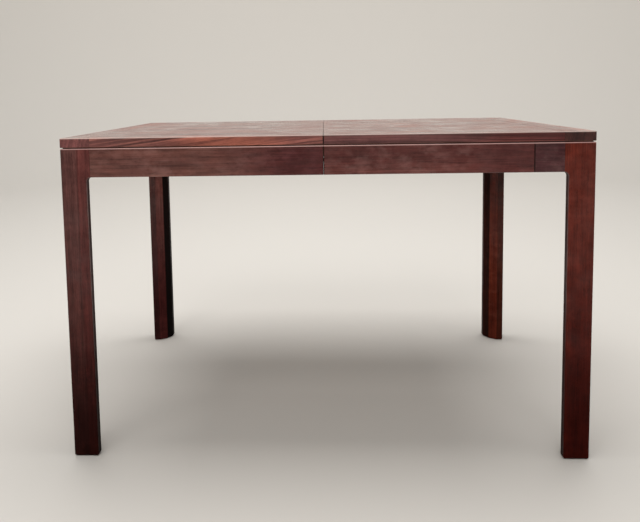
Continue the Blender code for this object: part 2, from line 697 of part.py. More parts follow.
def add_pins(right, wood):
    """Pins glued into the right half that slip into sockets in the left half as the table closes."""
    top_level = TABLE_HEIGHT - TOP_THICKNESS / 2
    apron_line = HALF_DEPTH - APRON_THICKNESS / 2
    places = {
        "top_pin_front": (-PIN_LINE, top_level),
        "top_pin_middle": (0, top_level),
        "top_pin_back": (PIN_LINE, top_level),
        "apron_pin_front": (-apron_line, APRON_MIDDLE),
        "apron_pin_back": (apron_line, APRON_MIDDLE),
    }
    for name, (y, z) in places.items():
        pin = rod(PIN_RADIUS, SEAM - PIN_STICK_OUT, SEAM + PIN_BITE)
        rim = edges_where(pin, lambda at: near(at.z, SEAM - PIN_STICK_OUT))
        soften(pin, PIN_CHAMFER, rim, segments=1)
        turn = Matrix.Rotation(math.pi / 2, 4, "Y")
        add(name, pin, right, wood, Matrix.Translation((0, y, z)) @ turn, smooth=True)


def build():
    """The closed table, with its lock levers swung clear."""
    for old in list(bpy.data.objects):
        bpy.data.objects.remove(old, do_unlink=True)

    veneer = finish("top_veneer", (0.20, 0.075, 0.045), 0.30)
    edging = finish("top_edging", (0.17, 0.060, 0.038), 0.35)
    apron_wood = finish("apron_wood", (0.105, 0.038, 0.030), 0.38)
    leg_wood = finish("leg_wood", (0.095, 0.032, 0.026), 0.38)
    splice_wood = finish("splice_wood", (0.075, 0.030, 0.032), 0.40)
    inner_wood = finish("inner_hardwood", (0.42, 0.25, 0.13), 0.60)
    steel = finish("zinc_steel", (0.55, 0.55, 0.53), 0.35, 1.0)
    brass = finish("brass", (0.60, 0.42, 0.16), 0.32, 1.0)

    left = carrier("left_half")
    right = carrier("right_half")
    carriage = carrier("slide_carriage")

    add_top(-1, "left", left, veneer, edging)
    add_top(1, "right", right, veneer, edging)
    add_aprons(left, right, apron_wood, splice_wood)
    for corner, matrix in CORNERS.items():
        body = left if corner.endswith("left") else right
        add(f"leg_{corner}", leg(), body, leg_wood, matrix)
        add(f"corner_block_{corner}", corner_block(), body, inner_wood, matrix)
        add(f"hanger_bolt_{corner}", hanger_bolt(), body, steel, matrix, smooth=True)
        add(f"wing_nut_{corner}", wing_nut(), body, steel, matrix, smooth=True)
    add_cleats(left, right, inner_wood)
    add_slides(left, right, carriage, inner_wood)
    add_locks(left, right, steel, brass)
    add_pins(right, inner_wood)


build()
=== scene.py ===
"""Looks of the extending dining table: rosewood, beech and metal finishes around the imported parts."""

import math
from types import SimpleNamespace

import bmesh
import bpy
from mathutils import Euler, Matrix, Vector


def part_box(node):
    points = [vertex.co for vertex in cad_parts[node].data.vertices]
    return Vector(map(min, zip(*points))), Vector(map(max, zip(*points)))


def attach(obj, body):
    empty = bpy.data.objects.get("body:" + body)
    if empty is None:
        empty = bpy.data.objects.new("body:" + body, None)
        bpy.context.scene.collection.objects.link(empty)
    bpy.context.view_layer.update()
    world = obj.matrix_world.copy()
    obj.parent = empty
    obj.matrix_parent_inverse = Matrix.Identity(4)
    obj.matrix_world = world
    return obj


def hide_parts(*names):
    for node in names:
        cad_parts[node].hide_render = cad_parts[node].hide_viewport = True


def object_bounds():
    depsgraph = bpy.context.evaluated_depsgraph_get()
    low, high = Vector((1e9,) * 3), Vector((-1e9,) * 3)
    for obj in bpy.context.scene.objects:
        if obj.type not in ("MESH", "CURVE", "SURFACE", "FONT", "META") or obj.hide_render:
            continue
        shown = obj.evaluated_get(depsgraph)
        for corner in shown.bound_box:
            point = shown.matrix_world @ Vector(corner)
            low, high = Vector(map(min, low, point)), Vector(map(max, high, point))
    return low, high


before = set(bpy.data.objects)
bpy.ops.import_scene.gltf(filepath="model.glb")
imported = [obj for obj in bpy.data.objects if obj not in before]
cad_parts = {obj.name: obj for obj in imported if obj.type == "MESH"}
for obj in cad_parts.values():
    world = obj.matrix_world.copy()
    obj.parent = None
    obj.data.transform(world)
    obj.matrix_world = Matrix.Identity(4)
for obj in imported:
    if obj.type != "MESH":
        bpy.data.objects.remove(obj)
cad_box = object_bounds()


# Legs: four solid rosewood posts, square outside and planed to two facets on the inside.
# The grain runs up the leg. The thin satin lacquer is faded and blotched outside, and the facets that
# face under the table are darkened as painted shade. The front facets of the back legs are lightened as
# painted light, and the right back leg carries a painted shadow towards its top. The arrises are rubbed
# pale, partly wear and partly a painted highlight, and at the foot the lacquer is worn off and the wood
# darker, grime with painted shade near the floor.
HALF_LENGTH, HALF_DEPTH, TABLE_HEIGHT = cad_box[1]
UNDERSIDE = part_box("top_panel_left")[0].z
REVEAL_HEIGHT = 0.0024
LIP_LEVEL = UNDERSIDE - REVEAL_HEIGHT

# Where a change begins and ends: in from an outer face, and for the last two above the floor.
FACET_START = (0.0190, 0.0212)
FACET_ARRIS = (0.0425, 0.0440)
OUTER_ARRIS = (0.003, 0.008)
BOARD_JOINT = (0.035, 0.039)
SHADOW_UNDER_TOP = (0.32, 0.60)
FOOT_GRIME_AND_SHADE = (0.60, 0.05)

BOARD_TINT = (1.18, 0.90, 0.90, 1)
# Painted light on the front facets of the back legs.
FACET_PAINTED_LIGHT_TINT = (1.95, 1.70, 1.65, 1)
# Painted shadow of the table top on the upper end of the right back leg.
SHADOW_UNDER_TOP_TINT = (0.32, 0.31, 0.34, 1)
# Pale colour of rubbed arrises: partly bare wood, partly a painted highlight.
BARE_WOOD_AND_HIGHLIGHT = (0.98, 0.60, 0.55, 1)
BLOOM = (0.46, 0.29, 0.26, 1)
LEG_VEIN = (0.020, 0.005, 0.004, 1)

# For each leg: place of the pith, ground and warm colour of the wood, strength of its veins.
LEG_CUTS = {
    "leg_front_left": ((0.070, 0.055), (0.132, 0.047, 0.042, 1), (0.177, 0.065, 0.057, 1), 0.30),
    "leg_front_right": ((0.095, -0.060), (0.128, 0.020, 0.012, 1), (0.183, 0.027, 0.015, 1), 0.22),
    "leg_back_left": ((-0.085, 0.050), (0.122, 0.043, 0.038, 1), (0.170, 0.061, 0.051, 1), 0.34),
    "leg_back_right": ((0.060, 0.090), (0.141, 0.028, 0.016, 1), (0.190, 0.036, 0.018, 1), 0.32),
}
# For each leg: tint and darkness of the foot, grime with painted shade near the floor, and darkness of
# the facet that faces in, a painted shade.
LEG_GRIME_AND_SHADE = {
    "leg_front_left": ((1.06, 0.60, 0.54, 1), 0.85, 0.65),
    "leg_front_right": ((1.22, 0.62, 0.52, 1), 0.72, 0.65),
    "leg_back_left": ((0.84, 0.58, 0.66, 1), 0.62, 0.90),
    "leg_back_right": ((1.25, 1.25, 1.20, 1), 0.58, 0.58),
}
FOOT_WEAR = 0.98


def connect(tree, node, feeds):
    """Links sockets to a node's inputs, or sets plain values there."""
    for name, value in feeds.items():
        if isinstance(value, bpy.types.NodeSocket):
            tree.links.new(value, node.inputs[name])
        else:
            node.inputs[name].default_value = value


def lay(tree, kind, feeds=None, **settings):
    """Puts a node into a tree, sets it up and connects it."""
    node = tree.nodes.new(kind)
    for name, value in settings.items():
        setattr(node, name, value)
    connect(tree, node, feeds or {})
    return node


def applied(tree, group, feeds):
    """Puts a node group into a tree, and gives what comes out of it."""
    return lay(tree, "ShaderNodeGroup", feeds, node_tree=group).outputs


def sums(tree, operation, *values):
    """One Math node, and its result."""
    return lay(tree, "ShaderNodeMath", dict(enumerate(values)), operation=operation).outputs[0]


def vector_sums(tree, operation, *vectors):
    """One Vector Math node, and its result."""
    return lay(tree, "ShaderNodeVectorMath", dict(enumerate(vectors)), operation=operation).outputs[0]


def fade(tree, value, start, end, low=0.0, high=1.0):
    """A value carried smoothly from one range to another."""
    feeds = {"Value": value, "From Min": start, "From Max": end, "To Min": low, "To Max": high}
    return lay(tree, "ShaderNodeMapRange", feeds, interpolation_type="SMOOTHSTEP").outputs["Result"]


def blended(tree, amount, first, second, how="MIX"):
    """Two colours mixed by an amount, on the colour sockets of a Mix node."""
    feeds = {0: amount, 6: first, 7: second}
    return lay(tree, "ShaderNodeMix", feeds, data_type="RGBA", blend_type=how).outputs[2]


def brightened(tree, colour, value):
    """A colour made lighter or darker by a value."""
    return lay(tree, "ShaderNodeHueSaturation", {"Color": colour, "Value": value}).outputs[0]


def stretched_noise(tree, vector, stretch, detail, output="Fac"):
    """Noise on coordinates that are stretched along the grain."""
    mapped = vector_sums(tree, "MULTIPLY", vector, stretch)
    feeds = {"Vector": mapped, "Scale": 1.0, "Detail": detail, "Roughness": 0.55}
    return lay(tree, "ShaderNodeTexNoise", feeds).outputs[output]


def ring_noise(tree, rings, detail):
    """Noise that changes from ring to ring."""
    feeds = {"W": rings, "Scale": 1.0, "Detail": detail}
    return lay(tree, "ShaderNodeTexNoise", feeds, noise_dimensions="1D").outputs[0]


def split(tree, vector):
    """The three coordinates of a place."""
    return lay(tree, "ShaderNodeSeparateXYZ", {0: vector}).outputs[:3]


def inset(tree, coordinate, half):
    """How far a place lies inside the outer face at that half size, on either side of the table."""
    return sums(tree, "SUBTRACT", half, sums(tree, "ABSOLUTE", coordinate))


def effect(name, inputs, outputs):
    """A shader node group with named inputs and outputs: the group, what it is given and its end."""
    group = bpy.data.node_groups.new(name, "ShaderNodeTree")
    for way, sockets in (("INPUT", inputs), ("OUTPUT", outputs)):
        for title, kind in sockets.items():
            group.interface.new_socket(title, in_out=way, socket_type="NodeSocket" + kind)
    given = group.nodes.new("NodeGroupInput").outputs
    return group, given, group.nodes.new("NodeGroupOutput")


# Marks in the wood: how many to a metre along, across and through the grain, and how finely broken up.
SLOW_BENDS = ((1.1, 6.0, 6.0), 1.0)
QUICK_BENDS = ((7.0, 48.0, 48.0), 2.0)
PATCHES = ((2.6, 21.0, 21.0), 2.0)
FIBRES = ((16.0, 520.0, 520.0), 2.0)
STREAKS = ((4.0, 130.0, 130.0), 2.0)
MOTTLE = ((26.0, 60.0, 60.0), 3.0)
PORES = ((110.0, 1500.0, 1500.0), 1.0)

# How much of a mark shows: the level at which it begins to, and the level at which it is full.
MIDDLE = (0.3, 0.7)
UPPER = (0.35, 0.7)
WIDE = (0.25, 0.75)
SPARSE = (0.60, 0.70)
LINE_EDGES = (0.085, 0.0)
BAND_EDGES = (0.46, 0.68)
LINE_GAPS = (0.25, 0.65, 0.25, 1.0)

# How strongly the marks work on the shape of the rings, the colour, the gloss and the surface.
MID_NOISE = 0.5
QUICK_REACH = (0.0035, 0.0035, 0.0035)
LINE_DETAIL = 2.0
BAND_DETAIL = 3.0
BAND_RATE = 0.21
BAND_START = 31.7
BAND_INK = 0.75
FIBRE_LIGHT = (-0.16, 0.16)
STREAK_LIGHT = (0.85, 1.17)
MOTTLE_LIGHT = (-0.14, 0.14)
PORE_LIGHT = -0.45
STREAK_DULL = (0.0, 0.06)
PORE_DULL = 0.20
FIBRE_HEIGHT = 0.35
PORE_HEIGHT = -0.6


def log_of_rosewood():
    """Rosewood as it grows: dark veins in rings round the pith along X, with fibres and pores."""
    group, given, end = effect(
        "rosewood_log",
        {
            "Vector": "Vector",
            "Ring Width": "Float",
            "Waver": "Float",
            "Taper": "Float",
            "Veins": "Float",
            "Ground": "Color",
            "Warm": "Color",
            "Vein": "Color",
        },
        {"Color": "Color", "Gloss Loss": "Float", "Height": "Float"},
    )
    at = given["Vector"]
    slow = stretched_noise(group, at, *SLOW_BENDS, "Color")
    slow = vector_sums(group, "SUBTRACT", slow, (MID_NOISE, MID_NOISE, MID_NOISE))
    slow = vector_sums(group, "MULTIPLY", slow, given["Waver"])
    quick = stretched_noise(group, at, *QUICK_BENDS, "Color")
    quick = vector_sums(group, "MULTIPLY", quick, QUICK_REACH)
    bent = vector_sums(group, "ADD", vector_sums(group, "ADD", at, slow), quick)
    along, across, through = split(group, bent)
    squares = [sums(group, "MULTIPLY", way, way) for way in (across, through)]
    out = sums(group, "SQRT", sums(group, "ADD", *squares))
    out = sums(group, "MULTIPLY_ADD", along, given["Taper"], out)
    rings = sums(group, "DIVIDE", out, given["Ring Width"])

    patches = stretched_noise(group, at, *PATCHES)
    lines = sums(group, "SUBTRACT", ring_noise(group, rings, LINE_DETAIL), MID_NOISE)
    lines = fade(group, sums(group, "ABSOLUTE", lines), *LINE_EDGES)
    lines = sums(group, "MULTIPLY", lines, fade(group, patches, *LINE_GAPS))
    wide_rings = sums(group, "MULTIPLY_ADD", rings, BAND_RATE, BAND_START)
    bands = fade(group, ring_noise(group, wide_rings, BAND_DETAIL), *BAND_EDGES)
    ink = sums(group, "MAXIMUM", lines, sums(group, "MULTIPLY", bands, BAND_INK))
    ink = sums(group, "MULTIPLY", ink, given["Veins"])

    fibres = stretched_noise(group, at, *FIBRES)
    streaks = stretched_noise(group, at, *STREAKS)
    mottle = stretched_noise(group, at, *MOTTLE)
    pores = fade(group, stretched_noise(group, at, *PORES), *SPARSE)

    colour = blended(group, fade(group, patches, *UPPER), given["Ground"], given["Warm"])
    colour = blended(group, ink, colour, given["Vein"])
    light = fade(group, fibres, *WIDE, *FIBRE_LIGHT)
    light = sums(group, "ADD", light, fade(group, streaks, *MIDDLE, *STREAK_LIGHT))
    light = sums(group, "ADD", light, fade(group, mottle, *MIDDLE, *MOTTLE_LIGHT))
    light = sums(group, "MULTIPLY_ADD", pores, PORE_LIGHT, light)
    loss = fade(group, streaks, *MIDDLE, *STREAK_DULL)
    height = sums(group, "MULTIPLY", fibres, FIBRE_HEIGHT)
    results = {
        "Color": brightened(group, colour, light),
        "Gloss Loss": sums(group, "MULTIPLY_ADD", pores, PORE_DULL, loss),
        "Height": sums(group, "MULTIPLY_ADD", pores, PORE_HEIGHT, height),
    }
    connect(group, end, results)
    return group


RUBBED_SPOTS = ((11.0, 11.0, 11.0), 5.0)
SPOT_EDGES = (0.35, 0.75)
UPRIGHT_RUB = 0.25


def rubbed_and_highlit_edges():
    """A mask of the arrises where two outer faces of the table meet, broken up as hands rub them. It
    places both the wear and the painted highlight along the arrises.
    """
    inputs = {"Vector": "Vector", "Level": "Float", "Width": "Float", "Evenness": "Float"}
    group, given, end = effect("rubbed_and_highlit_edges", inputs, {"Mask": "Float"})
    x, y, z = split(group, given["Vector"])
    ways = (
        inset(group, x, HALF_LENGTH),
        inset(group, y, HALF_DEPTH),
        sums(group, "SUBTRACT", z, given["Level"]),
    )
    near = [fade(group, sums(group, "ABSOLUTE", away), given["Width"], 0.0) for away in ways]
    near_end, near_side, near_level = near
    upright = sums(group, "MULTIPLY", near_end, near_side)
    lying = sums(group, "MULTIPLY", near_level, sums(group, "MAXIMUM", near_end, near_side))
    patchy = fade(group, stretched_noise(group, given["Vector"], *RUBBED_SPOTS), *SPOT_EDGES)
    upright = sums(group, "MULTIPLY", upright, sums(group, "MULTIPLY", patchy, UPRIGHT_RUB))
    lying = sums(group, "MULTIPLY", lying, sums(group, "MAXIMUM", patchy, given["Evenness"]))
    connect(group, end, {"Mask": sums(group, "MAXIMUM", upright, lying)})
    return group


CLOUDS = ((34.0, 34.0, 52.0), 5.0)
CLOUD_EDGES = (0.40, 0.72)
CLOUD_PLACES = ((7.0, 7.0, 9.0), 1.0)
PLACE_EDGES = (0.35, 0.65, 0.3, 1.0)


def worn_patches():
    """A mask of cloudy patches, where damp and rubbing have left the lacquer blotched."""
    group, given, end = effect("worn_patches", {"Vector": "Vector"}, {"Mask": "Float"})
    clouds = fade(group, stretched_noise(group, given["Vector"], *CLOUDS), *CLOUD_EDGES)
    places = fade(group, stretched_noise(group, given["Vector"], *CLOUD_PLACES), *PLACE_EDGES)
    connect(group, end, {"Mask": sums(group, "MULTIPLY", clouds, places)})
    return group


ROSEWOOD_LOG = log_of_rosewood()
RUBBED_AND_HIGHLIT_EDGES = rubbed_and_highlit_edges()
WORN_PATCHES = worn_patches()


def new_finish(name):
    """A new material, its node tree and the place that its patterns are read at."""
    material = bpy.data.materials.new(name)
    material.use_nodes = True
    tree = material.node_tree
    return material, tree, lay(tree, "ShaderNodeTexCoord").outputs["Object"]


def fit_finish(node, material):
    """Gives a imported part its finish."""
    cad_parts[node].material_slots[0].material = material


def middle_of(node):
    """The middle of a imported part."""
    low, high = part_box(node)
    return (low + high) / 2


GRAIN_TURN = {"X": (0, 0, 0), "Y": (0, 0, -math.pi / 2), "Z": (0, math.pi / 2, 0)}
LOG_PLACES = 17
MATCHED_PLACE = 3
VENEER_SLICE = 0.0007


def start_of(name):
    """A place along the log that differs from piece to piece."""
    return sum(ord(letter) for letter in name) % LOG_PLACES


def cut(node, grain, pith, colours, ring=0.008, waver=0.03, taper=0.02, veins=0.8, lean=0.0, leaf=None):
    """Rosewood for one piece, sawn from its own place in the log and not yet lacquered.

    With a leaf the piece is veneered in strips of that width, every other strip turned over.
    """
    material, tree, place = new_finish(node + "_rosewood")
    wood_place = place
    centre = middle_of(node)
    start = start_of(node)
    if leaf:
        x, y, z = split(tree, place)
        along = sums(tree, "ADD", y, HALF_DEPTH)
        strip = sums(tree, "FLOOR", sums(tree, "DIVIDE", along, leaf))
        turned_over = sums(tree, "PINGPONG", along, leaf)
        level = sums(tree, "MULTIPLY_ADD", strip, VENEER_SLICE, z)
        wood_place = lay(tree, "ShaderNodeCombineXYZ", {0: x, 1: turned_over, 2: level}).outputs[0]
        centre = Vector((0, leaf / 2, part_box(node)[1].z))
        start = MATCHED_PLACE

    turn = Vector(GRAIN_TURN[grain]) + Vector((0, lean, 0))
    shift = Vector((start, *pith)) - Euler(turn).to_matrix() @ centre
    mapped = lay(tree, "ShaderNodeMapping", {"Vector": wood_place, "Location": shift, "Rotation": turn})
    ground, warm, vein = colours
    feeds = {
        "Vector": mapped.outputs[0],
        "Ring Width": ring,
        "Waver": waver,
        "Taper": taper,
        "Veins": veins,
        "Ground": ground,
        "Warm": warm,
        "Vein": vein,
    }
    log = applied(tree, ROSEWOOD_LOG, feeds)
    return SimpleNamespace(
        node=node,
        material=material,
        tree=tree,
        place=place,
        colour=log["Color"],
        loss=log["Gloss Loss"],
        height=log["Height"],
        coat=1.0,
    )


def cover(wood, mask, share, colour):
    """Lays a colour over the wood where a mask says."""
    wood.colour = blended(wood.tree, sums(wood.tree, "MULTIPLY", mask, share), wood.colour, colour)


def tint(wood, mask, colour):
    """Tints the wood where a mask says."""
    tinted = blended(wood.tree, 1.0, wood.colour, colour, "MULTIPLY")
    wood.colour = blended(wood.tree, mask, wood.colour, tinted)


def darken(wood, mask, share):
    """Makes the wood darker where a mask says."""
    left = sums(wood.tree, "MULTIPLY_ADD", mask, -share, 1.0)
    wood.colour = brightened(wood.tree, wood.colour, left)


def wear_off(wood, mask, share):
    """Takes lacquer away where a mask says."""
    left = sums(wood.tree, "MULTIPLY_ADD", mask, -share, 1.0)
    wood.coat = sums(wood.tree, "MULTIPLY", wood.coat, left)


def dull(wood, mask, amount):
    """Takes gloss away where a mask says."""
    wood.loss = sums(wood.tree, "MULTIPLY_ADD", mask, amount, wood.loss)


BLOOM_DULL = 0.10
BLOOM_WEAR = 0.4


def blotch(wood, dark, bloom):
    """Lays a pale, dull bloom over the lacquer in patches, and leaves the wood darker between them."""
    mask = applied(wood.tree, WORN_PATCHES, {"Vector": wood.place})["Mask"]
    darken(wood, sums(wood.tree, "SUBTRACT", 1.0, mask), dark)
    cover(wood, mask, bloom, BLOOM)
    dull(wood, mask, BLOOM_DULL)
    wear_off(wood, mask, BLOOM_WEAR)


RUBBED_DULL = 0.10
RUBBED_WEAR = 0.5
HAZE = ((9.0, 9.0, 9.0), 3.0)
HAZE_SPREAD = 0.05
COAT_PATCHES = ((17.0, 17.0, 23.0), 4.0)
COAT_SPREAD = (0.5, 1.4)
COAT_ROUGHNESS = 0.18
GRAIN_RELIEF = {"Strength": 0.10, "Distance": 0.0006}


def lacquer(wood, level, *, coat, specular, width, evenness, rub, gloss=0.40, bare=BARE_WOOD_AND_HIGHLIGHT):
    """Rubs the arrises at a level through to paler wood, lays satin lacquer, and fits the finish. The
    pale colour on the arrises is partly wear and partly a painted highlight.
    """
    tree = wood.tree
    feeds = {"Vector": wood.place, "Level": level, "Width": width, "Evenness": evenness}
    rubbed_and_highlit = applied(tree, RUBBED_AND_HIGHLIT_EDGES, feeds)["Mask"]
    # Paler arrises: wear, and a painted highlight in the same pale colour.
    cover(wood, rubbed_and_highlit, rub, bare)
    dull(wood, rubbed_and_highlit, RUBBED_DULL)
    wear_off(wood, rubbed_and_highlit, RUBBED_WEAR)
    haze = stretched_noise(tree, wood.place, *HAZE)
    haze = fade(tree, haze, *UPPER, gloss - HAZE_SPREAD, gloss + HAZE_SPREAD)
    patchy = stretched_noise(tree, wood.place, *COAT_PATCHES)
    patchy = fade(tree, patchy, *MIDDLE, *[coat * share for share in COAT_SPREAD])
    relief = lay(tree, "ShaderNodeBump", {"Height": wood.height, **GRAIN_RELIEF})
    look = {
        "Base Color": wood.colour,
        "Roughness": sums(tree, "ADD", haze, wood.loss),
        "Coat Weight": sums(tree, "MULTIPLY", wood.coat, patchy),
        "Normal": relief.outputs[0],
        "Specular IOR Level": specular,
        "Coat Roughness": COAT_ROUGHNESS,
    }
    connect(tree, tree.nodes["Principled BSDF"], look)
    fit_finish(wood.node, wood.material)


for node, (pith, ground, warm, veins) in LEG_CUTS.items():
    foot_tint, foot_dark, inward_dark = LEG_GRIME_AND_SHADE[node]
    wood = cut(node, "Z", pith, (ground, warm, LEG_VEIN), waver=0.02, veins=veins)
    blotch(wood, dark=0.22, bloom=0.035)
    x, y, z = split(wood.tree, wood.place)
    from_end = inset(wood.tree, x, HALF_LENGTH)
    from_side = inset(wood.tree, y, HALF_DEPTH)
    if node == "leg_front_left":
        tint(wood, fade(wood.tree, from_end, *BOARD_JOINT), BOARD_TINT)
    if node.startswith("leg_back"):
        # Painted light: the front facet of each back leg is made lighter.
        front_facet = (fade(wood.tree, from_end, *FACET_START), fade(wood.tree, from_side, *FACET_ARRIS))
        tint(wood, sums(wood.tree, "MULTIPLY", *front_facet), FACET_PAINTED_LIGHT_TINT)
    if node == "leg_back_right":
        # Painted shadow: the right back leg is darker towards its top, under the table top.
        tint(wood, fade(wood.tree, z, *SHADOW_UNDER_TOP), SHADOW_UNDER_TOP_TINT)
    # Darker and redder towards the foot: grime, and painted shade near the floor; the lacquer is worn off
    # there too.
    grime = fade(wood.tree, z, *FOOT_GRIME_AND_SHADE)
    tint(wood, grime, foot_tint)
    # Painted shade: the facet that faces in under the table is darkened, and its lacquer taken off.
    inner_facet = (fade(wood.tree, from_end, *FACET_ARRIS), fade(wood.tree, from_side, *OUTER_ARRIS))
    facing_in = sums(wood.tree, "MULTIPLY", *inner_facet)
    for mask, dark, worn in ((grime, foot_dark, FOOT_WEAR), (facing_in, inward_dark, 1.0)):
        darken(wood, mask, dark)
        wear_off(wood, mask, worn)
    lacquer(wood, LIP_LEVEL, coat=0.50, specular=0.03, width=0.0030, evenness=0.8, rub=0.9)


# Aprons: solid rosewood rails tongued between the legs, cut across at the seam of the table.
# Outside they are lacquered, faded and blotched, inside left bare, and the lip under the top is rubbed
# pale, partly wear and partly a painted highlight. At the seam their arrises are darkened with dirt and
# painted shadow.
# A short darker piece is let into the front rail beside the right leg, with a dark glue line at its end.
FADED_BOARD = ((0.162, 0.058, 0.047, 1), (0.232, 0.093, 0.072, 1))
RED_BOARD = ((0.146, 0.041, 0.036, 1), (0.210, 0.066, 0.055, 1))
BROWN_BOARD = ((0.142, 0.049, 0.040, 1), (0.205, 0.080, 0.062, 1))
PLUM_BOARD = ((0.076, 0.022, 0.025, 1), (0.095, 0.028, 0.031, 1))
APRON_VEIN = (0.030, 0.010, 0.009, 1)
GLUE_LINE = (0.020, 0.004, 0.003, 1)
INNER_DUST = (0.150, 0.082, 0.058, 1)
SEAM_TINT = (0.56, 0.36, 0.44, 1)
SPLICE_END_TINT = (0.80, 0.66, 0.70, 1)
DUST_ON_CUT = 0.35
DUST_INSIDE = 0.45
BARE_DULL = 0.20
SEAM_DIRT_AND_SHADOW = 0.9

# Where a change begins and ends: along the rail, in from an outer face, or away from a joint.
TOWARDS_SEAM = (0.30, 0.06)
TOWARDS_SPLICE = (0.20, 0.44)
INNER_FACE = (0.012, 0.017)
DIRT_AND_SHADOW_REACH = (0.0022, 0.0022 / 3)
DIRT_AND_SHADOW_DEPTHS = (0.0030, 0.0012)
CUT_FACE_REACH = (0.0009, 0.0004)
CUT_FACE_DEPTHS = (0.0008, 0.0016)
GLUE_REACH = (0.0022, 0.0008)
SPLICE_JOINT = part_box("apron_front_splice")[0].x

# For each rail: grain, place of the pith, its board, strength of the veins, darkening at the seam.
APRON_CUTS = {
    "apron_front_left": ("X", (0.140, 0.020), FADED_BOARD, 0.22, 1.0),
    "apron_front_right": ("X", (0.120, -0.030), RED_BOARD, 0.28, 0.15),
    "apron_front_splice": ("X", (0.100, 0.040), PLUM_BOARD, 0.30, 0.0),
    "apron_back_left": ("X", (-0.150, 0.020), BROWN_BOARD, 0.34, 0.30),
    "apron_back_right": ("X", (-0.130, -0.020), BROWN_BOARD, 0.34, 0.45),
    "apron_end_left": ("Y", (0.130, 0.030), BROWN_BOARD, 0.34, 0.0),
    "apron_end_right": ("Y", (-0.150, -0.010), BROWN_BOARD, 0.34, 0.0),
}


def seam_dirt_and_shadow(wood, share=SEAM_DIRT_AND_SHADOW):
    """Darkens the arrises of the seam with dirt and painted shadow, and leaves the cut faces behind them
    bare and dusty.
    """
    tree = wood.tree
    x, y, z = split(tree, wood.place)
    from_seam = sums(tree, "ABSOLUTE", x)
    below_top = sums(tree, "SUBTRACT", TABLE_HEIGHT, z)
    depth = sums(tree, "MINIMUM", inset(tree, y, HALF_DEPTH), below_top)
    arris = (fade(tree, from_seam, *DIRT_AND_SHADOW_REACH), fade(tree, depth, *DIRT_AND_SHADOW_DEPTHS))
    dirt_and_shadow = sums(tree, "MULTIPLY", *arris)
    behind = (fade(tree, from_seam, *CUT_FACE_REACH), fade(tree, depth, *CUT_FACE_DEPTHS))
    cut_face = sums(tree, "MULTIPLY", *behind)
    # Dirt and painted shadow darken the arrises along the seam.
    darken(wood, dirt_and_shadow, share)
    wear_off(wood, dirt_and_shadow, share)
    cover(wood, cut_face, DUST_ON_CUT, INNER_DUST)
    wear_off(wood, cut_face, 1.0)


for node, (grain, pith, board, veins, darkening) in APRON_CUTS.items():
    wood = cut(node, grain, pith, (*board, APRON_VEIN), ring=0.006, waver=0.035, veins=veins)
    blotch(wood, dark=0.16, bloom=0.16)
    x, y, _ = split(wood.tree, wood.place)
    if darkening:
        near_seam = fade(wood.tree, sums(wood.tree, "ABSOLUTE", x), *TOWARDS_SEAM)
        tint(wood, sums(wood.tree, "MULTIPLY", near_seam, darkening), SEAM_TINT)
        seam_dirt_and_shadow(wood)
    if node == "apron_front_right":
        tint(wood, fade(wood.tree, x, *TOWARDS_SPLICE), SPLICE_END_TINT)
    if node.startswith("apron_front"):
        from_joint = sums(wood.tree, "ABSOLUTE", sums(wood.tree, "SUBTRACT", x, SPLICE_JOINT))
        cover(wood, fade(wood.tree, from_joint, *GLUE_REACH), 1.0, GLUE_LINE)
    insets = (inset(wood.tree, x, HALF_LENGTH), inset(wood.tree, y, HALF_DEPTH))
    inside = fade(wood.tree, sums(wood.tree, "MINIMUM", *insets), *INNER_FACE)
    cover(wood, inside, DUST_INSIDE, INNER_DUST)
    dull(wood, inside, BARE_DULL)
    wear_off(wood, inside, 1.0)
    lacquer(wood, LIP_LEVEL, coat=0.50, specular=0.08, width=0.0030, evenness=0.9, rub=0.9)


# Corner blocks: three-cornered beech blocks glued behind each leg, with a screw on each side of the bolt.
# The beech is sawn to size and left unlacquered, with short dark flecks along its grain.
# The screws are slotted and zinc plated, with dirt packed into their slots.
BLOCK_TIP = 0.008
BLOCK_SCREW_OFFSET = 0.034
SCREW_RADIUS = 0.0042
SCREW_PROUD = 0.0006
SCREW_FACETS = 20
SLOT_SHARE = 0.26
SLOT_FLOOR = 0.00005
SLOT_TURN = 2.4
HEAD_TAPER = 0.7
HEAD_DEPTH = 0.5
LEVEL_FACE = 0.9
SHARP_CORNER = math.radians(35)

BEECH_PALE = (0.47, 0.29, 0.155, 1)
BEECH_TAN = (0.34, 0.19, 0.095, 1)
BEECH_BANDS = ((2.5, 60.0, 60.0), 3.0)
BEECH_FIBRES = ((30.0, 700.0, 700.0), 2.0)
BEECH_FLECKS = ((170.0, 900.0, 900.0), 1.0)
BEECH_GRIME = ((11.0, 11.0, 11.0), 4.0)
BEECH_FIBRE_LIGHT = (0.86, 1.12)
BEECH_GRIME_LIGHT = (0.72, 1.05)
BEECH_ROUGHNESS = (0.64, 0.52)
BEECH_RELIEF = {"Strength": 0.15, "Distance": 0.0006}
FLECK_LIGHT = -0.30
FLECK_HEIGHT = -0.4
BEECH_FIBRE_HEIGHT = 0.5
BEECH_SHINE = 0.3
BEECH_STEP = Vector((1.0, 1 / 7, 1 / 5))

ZINC_BRIGHT = (0.62, 0.62, 0.60, 1)
ZINC_STAIN = (0.34, 0.33, 0.30, 1)
METAL_STAINS = ((120.0, 120.0, 120.0), 5.0)
STAIN_EDGES = (0.40, 0.68)
METAL_RUBS = ((2600.0, 300.0, 300.0), 2.0)
METAL_RELIEF = {"Strength": 0.08, "Distance": 0.0002}
STAIN_DULL = 0.22
DARK_DIRT = (0.020, 0.014, 0.010, 1)
PALE_DIRT = (0.060, 0.042, 0.030, 1)
DIRT_CRUMBS = ((900.0, 900.0, 900.0), 3.0)
DIRT_ROUGHNESS = (0.75, 0.95)

